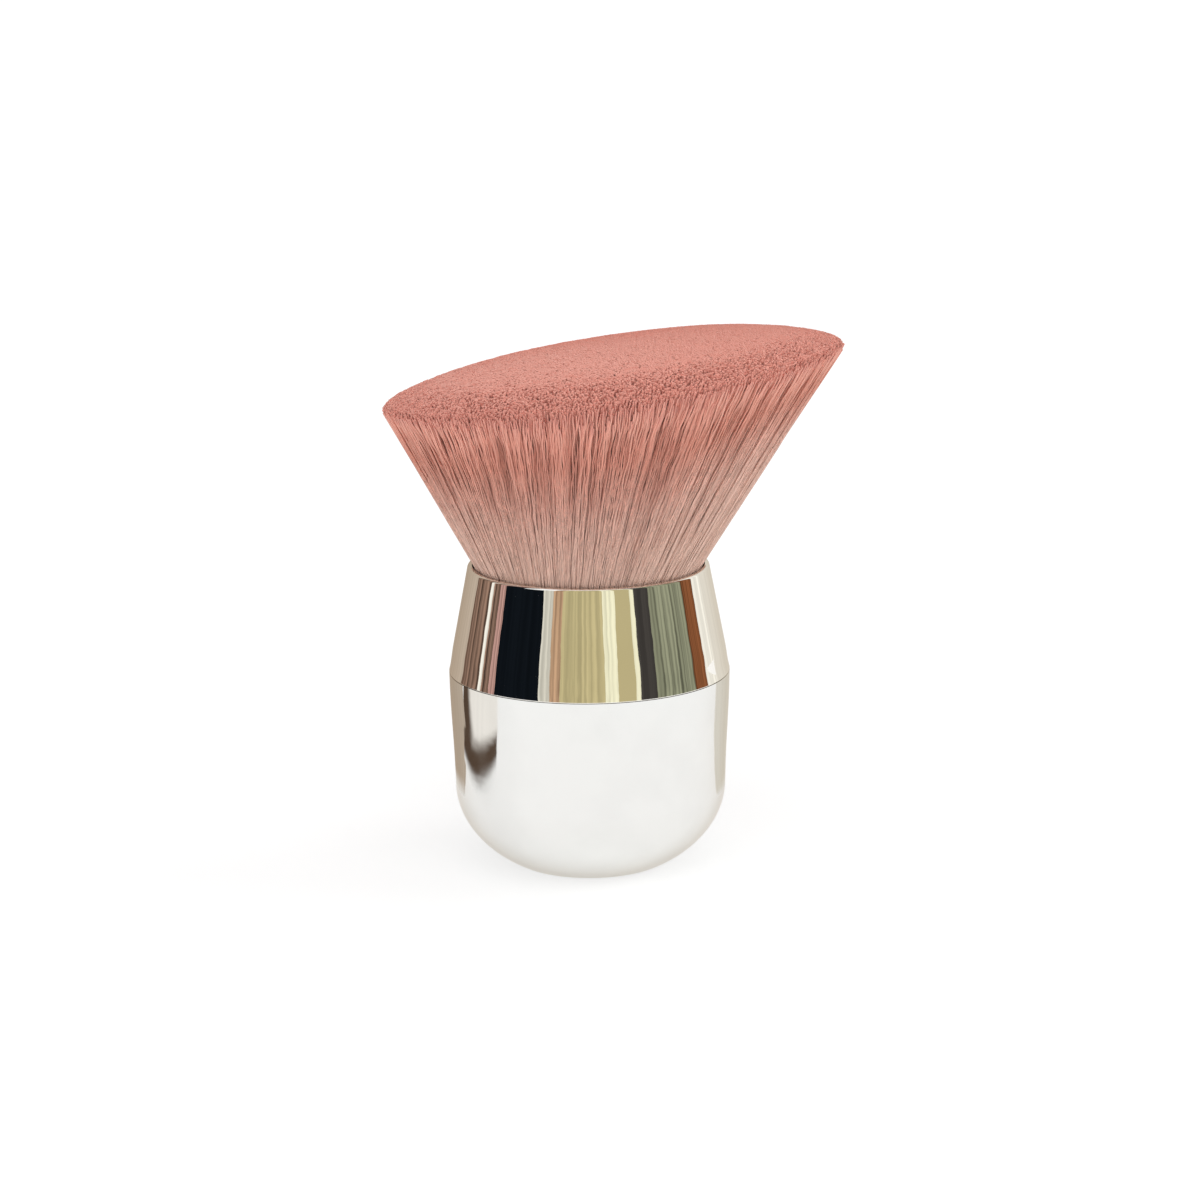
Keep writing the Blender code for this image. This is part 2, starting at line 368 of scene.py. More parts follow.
@dataclass(frozen=True)
class HiddenFinish:
    """Finish of a piece inside the handle: tones and roughness after one pattern, relief after another."""

    name: str
    colours: tuple[Colour, Colour]
    roughness: Span
    tones: Grain
    relief: Grain
    depth: float
    strength: float
    metallic: float = 0.0
    coat: float = 0.0

    def build(self) -> bpy.types.Material:
        """Makes the material."""
        made, board, shader = new_material(self.name)
        tones = self.tones.build(board)
        rough = board.spread(tones, self.tones.span or NOISE_SPAN, *self.roughness)
        board.join(rough, shader.inputs["Roughness"])
        paint(board, shader, self.tones.counted(board, tones), *self.colours)
        heights = self.relief.counted(board, self.relief.build(board))
        relief = {"Strength": self.strength, "Distance": self.depth, "Height": heights}
        board.join(board.call("ShaderNodeBump", relief), shader.inputs["Normal"])
        set_constants(shader, {"Metallic": self.metallic, "Coat Weight": self.coat})
        return made


SPIN_RINGS = Grain(Pattern.RINGS, 0.00035, detail=3.0)
FOAM_CELLS = Grain(Pattern.CELLS, 0.0006)
HIDDEN_FINISHES = {
    "ferrule_cup": HiddenFinish(
        "spun_aluminium", ((0.62, 0.62, 0.63), (0.45, 0.45, 0.46)), roughness=(0.26, 0.46),
        tones=SPIN_RINGS, relief=SPIN_RINGS, depth=0.00002, strength=0.6, metallic=1.0,
    ),
    "resin_plug": HiddenFinish(
        "cured_resin", ((0.66, 0.58, 0.42), (0.46, 0.36, 0.20)), roughness=(0.18, 0.34),
        tones=Grain(Pattern.CLOUDS, 0.006, detail=3.0),
        relief=Grain(Pattern.CELLS, 0.0012, span=(0.1, 0.35)), depth=0.0001, strength=0.5, coat=0.4,
    ),
    "ballast_weight": HiddenFinish(
        "turned_steel", ((0.42, 0.42, 0.43), (0.22, 0.20, 0.19)), roughness=(0.38, 0.68),
        tones=Grain(Pattern.CLOUDS, 0.004, detail=5.0, span=(0.50, 0.68)),
        relief=Grain(Pattern.RINGS, 0.0006), depth=0.00003, strength=0.7, metallic=1.0,
    ),
    "ballast_pad": HiddenFinish(
        "cell_foam", ((0.05, 0.05, 0.05), (0.10, 0.10, 0.11)), roughness=(0.92, 0.92),
        tones=FOAM_CELLS, relief=FOAM_CELLS, depth=0.00015, strength=0.9,
    ),
}


def link_piece(name: str, mesh: bpy.types.Mesh) -> bpy.types.Object:
    """Puts a mesh in the scene as an object at the origin."""
    made = bpy.data.objects.new(name, mesh)
    bpy.context.scene.collection.objects.link(made)
    return made


def bezier(start: Vector, first: Vector, second: Vector, end: Vector, steps: int) -> Profile:
    """Returns the points of a cubic curve after its start. The first and second points are its handles."""
    points = []
    for step in range(1, steps + 1):
        t = step / steps
        left = 1 - t
        point = start * left**3 + first * 3 * left**2 * t + second * 3 * left * t**2 + end * t**3
        points.append((point.x, point.y))
    return points


def rounded(start: Vector, corner: Vector, end: Vector, steps: int, pull: float = 0.55) -> Profile:
    """Returns the points of a rounded corner after its start."""
    return bezier(start, start.lerp(corner, pull), end.lerp(corner, pull), end, steps)


def turned_shell(name: str, profile: Profile, steps: int, sharp_degrees: float = 30.0) -> bpy.types.Object:
    """Turns a closed profile round +Z into one smooth shell.

    Args:
        name: The piece's name.
        profile: Points as radius and height, in order round the section.
        steps: Number of steps round the axis.
        sharp_degrees: Least angle of an edge that stays sharp.

    Returns:
        The piece.
    """
    shape = bmesh.new()
    rings = []
    for radius, height in profile:
        count = steps if radius > 0 else 1
        angles = [math.tau * step / steps for step in range(count)]
        rings.append([shape.verts.new((radius * math.cos(a), radius * math.sin(a), height)) for a in angles])
    for lower, upper in zip(rings, rings[1:] + rings[:1]):
        for step in range(steps if len(lower) + len(upper) > 2 else 0):
            after = (step + 1) % steps
            corners = [lower[step % len(lower)], lower[after % len(lower)]]
            corners += [upper[after % len(upper)], upper[step % len(upper)]]
            shape.faces.new(list(dict.fromkeys(corners)))
    bmesh.ops.recalc_face_normals(shape, faces=shape.faces)
    mesh = bpy.data.meshes.new(name)
    shape.to_mesh(mesh)
    shape.free()
    mesh.shade_smooth()
    mesh.set_sharp_from_angle(angle=math.radians(sharp_degrees))
    return link_piece(name, mesh)


@dataclass
class BowlCup:
    """The lower half of the handle: flat base, round bottom, near-straight wall and open mouth."""

    finish: PlatedMetal
    base_radius: float = 0.0120
    base_fillet: float = 0.0016
    fillet_pull: float = 0.6
    fillet_steps: int = 8
    bowl_height: float = 0.0126
    bowl_radius: float = 0.02135
    wall: float = 0.0015
    floor_thickness: float = 0.0020
    crease_height: float = 0.0308
    crease_radius: float = 0.0220
    seam: float = 0.00002
    steps: int = 256
    curve_steps: int = 40

    def wall_radius(self, height: float) -> float:
        """Returns the outer radius between the round bottom and the crease."""
        t = (height - self.bowl_height) / (self.crease_height - self.bowl_height)
        return self.bowl_radius + (self.crease_radius - self.bowl_radius) * t * t * (3 - 2 * t)

    def side(self, inset: float, lowest: float, highest: float) -> Profile:
        """Returns the wall, moved in by inset, as an elliptical roll and then the near-straight side."""
        depth = self.bowl_height / math.sqrt(1 - (self.base_radius / self.bowl_radius) ** 2) - inset
        turn = math.asin((self.bowl_height - lowest) / depth)
        points = []
        for step in range(self.curve_steps + 1):
            angle = turn * (1 - step / self.curve_steps)
            radius = (self.bowl_radius - inset) * math.cos(angle)
            points.append((radius, self.bowl_height - depth * math.sin(angle)))
        for step in range(1, self.curve_steps + 1):
            height = self.bowl_height + (highest - self.bowl_height) * step / self.curve_steps
            points.append((self.wall_radius(height) - inset, height))
        return points

    def build(self) -> bpy.types.Object:
        """Makes the shell, dressed and riding on the brush."""
        top = self.crease_height - self.seam
        outside = self.side(0, 0, top)
        edge = Vector(outside[0])
        after = Vector(outside[2])
        fillet_start = edge - Vector((self.base_fillet, 0))
        fillet = rounded(fillet_start, edge, after, self.fillet_steps, self.fillet_pull)
        inside = self.side(self.wall, self.floor_thickness, top)
        profile = [(0, 0), tuple(fillet_start)] + fillet + outside[3:]
        profile += inside[::-1] + [(0, self.floor_thickness)]
        piece = turned_shell("bowl_shell", profile, self.steps)
        piece.data.materials.append(self.finish.build())
        return settle(piece, ["base_cup"])


@dataclass
class Collar:
    """The cone above the crease: spigot, flared foot, straight side, bevelled lip, bore and ledge."""

    finish: PlatedMetal
    crease_height: float = 0.0308
    crease_radius: float = 0.0220
    crease_roll: float = 0.00018
    flare_height: float = 0.0040
    foot_slope: float = 0.27
    rim_height: float = 0.0477
    rim_radius: float = 0.0188
    cone_foot_radius: float = 0.0221
    lip_wall: float = 0.00065
    lip_round: float = 0.00035
    lip_steps: int = 6
    mouth_depth: float = 0.0090
    spigot_radius: float = 0.0202
    spigot_wall: float = 0.0014
    spigot_length: float = 0.0042
    spigot_chamfer: float = 0.0004
    ledge_thickness: float = 0.0014
    ledge_width: float = 0.0040
    steps: int = 256
    curve_steps: int = 12

    def cone_radius(self, height: float) -> float:
        """Returns the radius of the straight side at a height."""
        t = (height - self.crease_height) / (self.rim_height - self.crease_height)
        return self.cone_foot_radius + (self.rim_radius - self.cone_foot_radius) * t

    def foot(self) -> Profile:
        """Returns the tight roll at the crease and the flare that runs into the straight side."""
        crease = Vector((self.crease_radius - self.crease_roll, self.crease_height))
        widest = Vector((self.crease_radius, self.crease_height + self.crease_roll))
        corner = Vector((self.crease_radius, self.crease_height))
        roll = rounded(crease, corner, widest, self.curve_steps // 2)
        top_height = self.crease_height + self.flare_height
        flare_top = Vector((self.cone_radius(top_height), top_height))
        cone_slope = (self.cone_foot_radius - self.rim_radius) / (self.rim_height - self.crease_height)
        reach = (flare_top.y - widest.y) / 3
        leaving = widest + Vector((-self.foot_slope, 1)) * reach
        arriving = flare_top - Vector((-cone_slope, 1)) * reach
        return [tuple(crease)] + roll + bezier(widest, leaving, arriving, flare_top, self.curve_steps)

    def lip(self) -> Profile:
        """Returns the rolled outer edge of the lip."""
        foot_height = self.rim_height - self.lip_round
        foot = Vector((self.cone_radius(foot_height), foot_height))
        corner = Vector((self.rim_radius, self.rim_height))
        end = corner - Vector((self.lip_round, 0))
        return [tuple(foot)] + rounded(foot, corner, end, self.lip_steps)

    def build(self) -> bpy.types.Object:
        """Makes the shell, dressed and riding on the brush."""
        spigot_foot = self.crease_height - self.spigot_length
        bore = self.spigot_radius - self.spigot_wall
        ledge_radius = bore - self.ledge_width
        ledge_top = spigot_foot + self.ledge_thickness
        mouth_radius = self.rim_radius - self.lip_wall
        profile = [(ledge_radius, spigot_foot), (self.spigot_radius - self.spigot_chamfer, spigot_foot)]
        profile += [(self.spigot_radius, spigot_foot + self.spigot_chamfer)]
        profile += [(self.spigot_radius, self.crease_height)]
        profile += self.foot()
        profile += self.lip()
        profile += [(mouth_radius, self.rim_height), (mouth_radius, self.rim_height - self.mouth_depth)]
        profile += [(bore, self.crease_height), (bore, ledge_top), (ledge_radius, ledge_top)]
        piece = turned_shell("collar_shell", profile, self.steps, sharp_degrees=20.0)
        piece.data.materials.append(self.finish.build())
        return settle(piece, ["collar"])


@dataclass(frozen=True)
class Bundle:
    """A ring of the tuft: its shares of the spread, its fibres, and how their points lie along them."""

    inner: float
    outer: float
    fibres: int
    points_along: int
    hidden_points: int
    crowding: float
    width: float

    @property
    def hidden_share(self) -> float:
        """Share of a fibre's points that lie inside the collar, none where it runs straight to its tip."""
        return self.hidden_points / (self.points_along - 1)


class FibreZone(Enum):
    """The rings of the tuft, from its middle out. Only the outer three show their fibres' whole length."""

    HEART = Bundle(0.0, 0.35, 11000, 3, 0, 3.1, 0.000250)
    CORE = Bundle(0.35, 0.495, 11000, 3, 0, 3.1, 0.000250)
    MIDDLE = Bundle(0.495, 0.605, 11000, 3, 0, 3.1, 0.000250)
    WAIST = Bundle(0.605, 0.70, 11000, 3, 0, 3.1, 0.000250)
    MANTLE = Bundle(0.70, 0.785, 11000, 3, 0, 3.1, 0.000250)
    FLANK = Bundle(0.785, 0.86, 8800, 4, 1, 3.1, 0.000240)
    UNDERCOAT = Bundle(0.86, 0.925, 8800, 4, 1, 3.1, 0.000240)
    COAT = Bundle(0.925, 0.975, 8800, 4, 1, 3.1, 0.000220)
    LINING = Bundle(0.945, 0.968, 2400, 14, 1, 1.9, 0.000195)
    VEIL = Bundle(0.968, 0.985, 2400, 14, 1, 1.9, 0.000185)
    SURFACE = Bundle(0.985, 1.0, 2400, 14, 1, 1.9, 0.000160)


@dataclass
class FibreTuft:
    """The slant-topped tuft: fine fibres that leave the resin, pass the lip and fan out to a crowned oval."""

    finish: DyedFibre
    root_height: float = 0.0380
    root_spread: float = 0.0162
    mouth_height: float = 0.0477
    mouth_spread: float = 0.0178
    low_reach: float = 0.0315
    high_reach: float = 0.0395
    half_depth: float = 0.0285
    low_height: float = 0.0724
    high_height: float = 0.0819
    crown_rise: float = 0.0048
    root_width: float = 0.000075
    tip_share: float = 0.92
    tip_unevenness: float = 0.00005
    taper_span: Span = (0.94, 1.0)
    edge_start: float = 0.65
    edge_rounding: float = 0.045
    edge_layering: float = 0.085
    corner_fullness: float = 0.85
    late_dye: float = 0.9
    late_side: Span = (0.3, 1.0)
    clump_size: float = 0.045
    clump_twist: float = 0.03
    clump_pull: float = 0.0006
    furrow_depth: float = 0.0008
    furrow_count: float = 17.0
    furrow_twist: float = 1.3
    furrow_rise: Span = (0.35, 0.80)
    furrow_end: Span = (0.84, 0.97)
    furrow_span: Span = (0.50, 0.72)
    ridge_span: Span = (0.36, 0.66)
    crimp_depth: float = 0.00015
    crimp_turns: float = 4.6
    smooth_below: float = 0.7
    corner_step: float = 0.3
    map_shares: Colour = (0.76, 0.20, 0.04)
    seed: int = 11

    def sizes(self) -> dict[str, float]:
        """Returns the tree's number inputs by name, one for each plain number above."""
        numbers = {field.name: getattr(self, field.name) for field in fields(self) if field.type is float}
        return {name.replace("_", " ").title(): number for name, number in numbers.items()}

    def tree(self) -> bpy.types.NodeTree:
        """Makes the tree that grows one bundle of fibres."""
        tree = bpy.data.node_groups.new("tuft_fibres", "GeometryNodeTree")
        tree.interface.new_socket("Geometry", in_out="OUTPUT", socket_type="NodeSocketGeometry")
        for name in ("Fibres", "Points Along", "Seed"):
            tree.interface.new_socket(name, in_out="INPUT", socket_type="NodeSocketInt")
        for name in ("Inner Share", "Outer Share", "Hidden Share", "Crowding", "Fibre Width", *self.sizes()):
            tree.interface.new_socket(name, in_out="INPUT", socket_type="NodeSocketFloat")
        tree.interface.new_socket("Material", in_out="INPUT", socket_type="NodeSocketMaterial")
        board = Board(tree)
        source = board.add("NodeGroupInput")
        given = {socket.name: Wire(board, socket) for socket in source.outputs if socket.name}
        rooted = self.rooted_points(board, given)
        line = board.call("GeometryNodeCurvePrimitiveLine", {"End": (0.0, 0.0, 1.0)})
        line = board.call("GeometryNodeResampleCurve", {"Curve": line, "Count": given["Points Along"]})
        grown = board.call("GeometryNodeInstanceOnPoints", {"Points": rooted, "Instance": line})
        grown = board.call("GeometryNodeRealizeInstances", {"Geometry": grown})
        grown = self.bent(board, given, grown)
        mesh = self.skinned(board, given, grown)
        mesh = board.call("GeometryNodeRealizeInstances", {"Geometry": mesh})
        mesh = board.call("GeometryNodeSetMaterial", {"Geometry": mesh, "Material": given["Material"]})
        board.join(mesh, board.add("NodeGroupOutput").inputs["Geometry"])
        return tree

    def rooted_points(self, board: Board, given: dict[str, Wire]) -> Wire:
        """Adds one point for each fibre, with its place in the unit circle and its chance number.

        Args:
            board: The tree to add to.
            given: The tree's inputs by name.

        Returns:
            The points.
        """
        points = board.call("GeometryNodePoints", {"Count": given["Fibres"]})
        index = board.call("GeometryNodeInputIndex", {})

        def chance(offset: int) -> Wire:
            """Returns a number from 0 to 1 for each fibre, unlike those of other offsets."""
            inputs = {"Min": 0.0, "Max": 1.0, "ID": index, "Seed": given["Seed"] + offset}
            return board.call("FunctionNodeRandomValue", inputs, "Value", data_type="FLOAT")

        inner = given["Inner Share"] * given["Inner Share"]
        outer = given["Outer Share"] * given["Outer Share"]
        share = board.maths("SQRT", inner + (outer - inner) * chance(0))
        turn = chance(1) * math.tau
        unit = board.vector(share * board.maths("COSINE", turn), share * board.maths("SINE", turn), share)
        points = stored(board, points, "unit", unit, "FLOAT_VECTOR")
        lots = board.vector(chance(2), chance(3), chance(4))
        return stored(board, points, "lots", lots, "FLOAT_VECTOR")

    def bent(self, board: Board, given: dict[str, Wire], fibres: Wire) -> Wire:
        """Lays each fibre along its way from the resin over the lip to the top.

        Args:
            board: The tree to add to.
            given: The tree's inputs by name.
            fibres: One straight line for each fibre.

        Returns:
            The fibres in place, with their width, length share and place between furrows stored.
        """
        x, y, share = board.split(recalled(board, "unit", "FLOAT_VECTOR"))
        uneven, phase, _ = board.split(recalled(board, "lots", "FLOAT_VECTOR"))
        step = board.call("GeometryNodeSplineParameter", {}, "Factor")
        hidden = given["Hidden Share"]
        inside = board.maths("MINIMUM", step / hidden, 1.0)
        shown = board.maths("MAXIMUM", (step - hidden) / (1.0 - hidden), 0.0)
        along = 1.0 - (1.0 - shown) ** given["Crowding"]
        edge_start = given["Edge Start"]
        near_edge = board.maths("MAXIMUM", (share - edge_start) / (1.0 - edge_start), 0.0) ** 2.0
        worn = near_edge * (1.0 - x * x * given["Corner Fullness"])
        cut_back = worn * (given["Edge Rounding"] + uneven * uneven * given["Edge Layering"])
        reached = along * (1.0 - cut_back)
        root = board.vector(x * given["Root Spread"], y * given["Root Spread"], given["Root Height"])
        mouth = board.vector(x * given["Mouth Spread"], y * given["Mouth Spread"], given["Mouth Height"])
        slant = (given["High Height"] - given["Low Height"]) * (x + 1.0) * 0.5
        crown = given["Crown Rise"] * board.maths("SQRT", board.maths("MAXIMUM", 1.0 - share * share, 0.0))
        jitter = (uneven - 0.5) * 2.0 * given["Tip Unevenness"]
        tip_height = given["Low Height"] + slant + crown + jitter
        top_centre = (given["High Reach"] - given["Low Reach"]) * 0.5
        top_half_width = (given["High Reach"] + given["Low Reach"]) * 0.5
        tip = board.vector(top_centre + x * top_half_width, y * given["Half Depth"], tip_height)
        way = board.blend(reached, board.blend(inside, root, mouth), tip)
        clump_scale = board.maths("DIVIDE", 1.0, given["Clump Size"])
        clump_place = board.vector(x, y, along * given["Clump Twist"])
        clumps = {"Vector": clump_place, "Scale": clump_scale, "Detail": 2.0}
        pull = board.call("ShaderNodeTexNoise", clumps, "Color")
        pull_x, pull_y, _ = board.split(board.vector_maths("SUBTRACT", pull, (0.5, 0.5, 0.5)))
        reach = given["Clump Pull"] * along * 2.0
        outward_x = x / share
        outward_y = y / share
        count = given["Furrow Count"]
        furrow_place = board.vector(outward_x * count, outward_y * count, along * given["Furrow Twist"])
        furrows = noise(board, furrow_place, 1.0, detail=3.0)
        where_deep = board.spread(along, self.furrow_rise) * board.spread(along, self.furrow_end, 1.0, 0.0)
        sunk = board.spread(furrows, self.furrow_span) * where_deep * given["Furrow Depth"]
        turns = (along * given["Crimp Turns"] + phase) * math.tau
        crimp = board.maths("SINE", turns) * given["Crimp Depth"] * inside
        drift_x = pull_x * reach - outward_y * crimp - outward_x * sunk
        drift_y = pull_y * reach + outward_x * crimp - outward_y * sunk
        way = board.vector_maths("ADD", way, board.vector(drift_x, drift_y, 0.0))
        body = given["Root Width"] + (given["Fibre Width"] - given["Root Width"]) * along
        width = body * board.spread(along, self.taper_span, 1.0, given["Tip Share"])
        fibres = stored(board, fibres, "along", along)
        fibres = stored(board, fibres, "width", width)
        ridge = board.spread(furrows, self.ridge_span, 1.0, 0.0)
        fibres = stored(board, fibres, "ridge", ridge)
        fibres = board.call("GeometryNodeSetPosition", {"Geometry": fibres, "Position": way})
        return board.call("GeometryNodeSetCurveTilt", {"Curve": fibres, "Tilt": phase * math.tau})

    def skinned(self, board: Board, given: dict[str, Wire], fibres: Wire) -> Wire:
        """Gives each fibre its three-sided tube and the map that its finish reads.

        Args:
            board: The tree to add to.
            given: The tree's inputs by name.
            fibres: The fibres in place.

        Returns:
            The tubes.
        """
        section = board.call("GeometryNodeCurvePrimitiveCircle", {"Resolution": 3, "Radius": 1.0}, "Curve")
        corner = board.call("GeometryNodeInputIndex", {}) * given["Corner Step"]
        section = stored(board, section, "corner", corner)
        width = recalled(board, "width")
        inputs = {"Curve": fibres, "Profile Curve": section, "Scale": width, "Fill Caps": True}
        tubes = board.call("GeometryNodeCurveToMesh", inputs)
        _, _, facing = board.split(board.call("GeometryNodeInputNormal", {}, "Normal"))
        inputs = {"A": facing, "B": given["Smooth Below"]}
        side = board.call("FunctionNodeCompare", inputs, operation="LESS_THAN")
        tubes = board.call("GeometryNodeSetShadeSmooth", {"Geometry": tubes, "Selection": side})
        _, _, chance = board.split(recalled(board, "lots", "FLOAT_VECTOR"))
        ridge_share, chance_share, corner_share = self.map_shares
        across = recalled(board, "ridge") * ridge_share + chance * chance_share
        across = across + recalled(board, "corner") * corner_share
        tall_side, _, _ = board.split(recalled(board, "unit", "FLOAT_VECTOR"))
        delay = board.spread(tall_side, self.late_side, 1.0, given["Late Dye"] + 1.0)
        where = board.vector(across, recalled(board, "along") ** delay, 0.0)
        return stored(board, tubes, BAKE_MAP, where, "FLOAT2", "CORNER")

    def build(self) -> list[bpy.types.Object]:
        """Grows every bundle, dressed and riding on the brush."""
        material = self.finish.build()
        tree = self.tree()
        bundles = []
        for order, zone in enumerate(FibreZone):
            bundle = self.grown(tree, zone, order, material)
            bundles.append(settle(bundle, ["bristles"]))
        return bundles

    def grown(
        self, tree: bpy.types.NodeTree, zone: FibreZone, order: int, material: bpy.types.Material
    ) -> bpy.types.Object:
        """Grows one bundle and turns it into a plain mesh.

        Args:
            tree: The tree that grows a bundle.
            zone: Where the bundle stands.
            order: The bundle's place in the tuft, counted from its heart.
            material: The fibres' finish.

        Returns:
            The bundle.
        """
        bundle = zone.value
        values = {
            "Fibres": bundle.fibres,
            "Points Along": bundle.points_along,
            "Seed": self.seed + SEED_STEP * order,
            "Inner Share": bundle.inner,
            "Outer Share": bundle.outer,
            "Hidden Share": bundle.hidden_share,
            "Crowding": bundle.crowding,
            "Fibre Width": bundle.width,
            "Material": material,
            **self.sizes(),
        }
        name = f"tuft_{zone.name.lower()}"
        grower = link_piece(f"{name}_grower", bpy.data.meshes.new(f"{name}_grower"))
        modifier = grower.modifiers.new("fibres", "NODES")
        modifier.node_group = tree
        for socket in tree.interface.items_tree:
            if socket.in_out == "INPUT":
                modifier[socket.identifier] = values[socket.name]
        graph = bpy.context.evaluated_depsgraph_get()
        mesh = bpy.data.meshes.new_from_object(grower.evaluated_get(graph))
        bpy.data.objects.remove(grower)
        mesh.name = name
        return link_piece(name, mesh)


def stored(
    board: Board, geometry: Wire, name: str, value: Wire, kind: str = "FLOAT", domain: str = "POINT"
) -> Wire:
    """Stores a value of a data type on the points, or other elements, of a geometry."""
    inputs = {"Geometry": geometry, "Name": name, "Value": value}
    return board.call("GeometryNodeStoreNamedAttribute", inputs, data_type=kind, domain=domain)


def recalled(board: Board, name: str, kind: str = "FLOAT") -> Wire:
    """Reads a stored value of a data type."""
    return board.call("GeometryNodeInputNamedAttribute", {"Name": name}, "Attribute", data_type=kind)


def settle(piece: bpy.types.Object, nodes: list[str]) -> bpy.types.Object:
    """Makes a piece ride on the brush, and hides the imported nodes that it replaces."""
    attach(piece, BODY)
    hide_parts(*nodes)
    LOG.info("%s: %d faces, stands for %s", piece.name, len(piece.data.polygons), ", ".join(nodes))
    return piece


def dress_hidden_pieces() -> None:
    """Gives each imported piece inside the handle, which keeps its solid, its finish."""
    for name, finish in HIDDEN_FINISHES.items():
        materials = frame["nodes"][name].data.materials
        materials.clear()
        materials.append(finish.build())
        LOG.info("%s: keeps its solid, finish %s", name, finish.name)


class CardTone(Enum):
    """Plain linear colours of the cards that the plating reflects."""

    SOOT = (0.005, 0.007, 0.010)
    CHARCOAL = (0.055, 0.050, 0.046)
    MOSS = (0.230, 0.240, 0.165)
    KHAKI = (0.530, 0.460, 0.250)
    CREAM = (0.860, 0.840, 0.620)
    TAN = (0.500, 0.320, 0.200)
    ROSE = (0.560, 0.330, 0.290)
    RUST = (0.230, 0.085, 0.035)
    ROSEWOOD = (0.215, 0.135, 0.100)
    UMBER = (0.100, 0.065, 0.045)
    TAUPE = (0.560, 0.470, 0.385)
    SILVER = (0.660, 0.640, 0.560)
    PEARL = (0.840, 0.810, 0.740)
    PALE = (0.960, 0.920, 0.870)
    WHITE = (0.920, 0.900, 0.830)


@dataclass(frozen=True)
class Card:
    """One curved card that stands round the brush, with a sheet that lies on the floor in front of it.

    The start and end are degrees round from the camera's side. The sheet reaches in to the distance in
    reach, and bow draws it back at both ends. A border tone, where there is one, darkens the card's start
    side and the sheet's inner edge.
    """

    tone: CardTone
    start: float
    end: float
    top: float = 0.6
    distance: float = 0.36
    reach: float = 0.36
    bow: float = 0.0
    border_tone: CardTone | None = None
    border_width: float = 0.012
    streak: float = 0.2


FLOOR_TONE = (1.0, 1.0, 1.0)
SHEET_STEP = 0.00001
CARD_STEP_DEGREES = 4
STREAK_SIZE = 0.05
STREAK_STRETCH = 0.12
STREAK_SHIFT = 3.7
BORDER_START = 0.5
SHEET_FADE = 0.3
CARDS = (
    Card(CardTone.ROSEWOOD, -138, -100, reach=0.131, border_width=0.001, streak=0.9),
    Card(CardTone.WHITE, -100, -96),
    Card(CardTone.ROSEWOOD, -96, -87.5, streak=0.9),
    Card(CardTone.ROSE, -87.5, -81, streak=0.5),
    Card(CardTone.SOOT, -81, -62),
    Card(CardTone.SOOT, -62, -41, top=0.14),
    Card(CardTone.SILVER, -41, -32, top=0.2),
    Card(CardTone.TAN, -32, -23.5, streak=0.5),
    Card(CardTone.KHAKI, -23.5, 12),
    Card(CardTone.CREAM, 12, 23),
    Card(CardTone.KHAKI, 23, 37, streak=0.0),
    Card(CardTone.CREAM, 37, 41),
    Card(CardTone.CHARCOAL, 41, 55),
    Card(CardTone.MOSS, 55, 93, streak=0.6),
    Card(CardTone.RUST, 93, 108, streak=0.6),
    Card(CardTone.WHITE, 108, 180),
    Card(CardTone.TAUPE, -180, -114, top=0.130, distance=0.085, reach=0.050, border_width=0.030, streak=0.08),
    Card(
        CardTone.PALE, -117, -74, top=0.002, distance=0.130, reach=0.0575, bow=0.010,
        border_tone=CardTone.UMBER, border_width=0.026, streak=0.03,
    ),
    Card(CardTone.PEARL, 113, 180, top=0.130, distance=0.085, reach=0.046, border_width=0.030, streak=0.06),
)


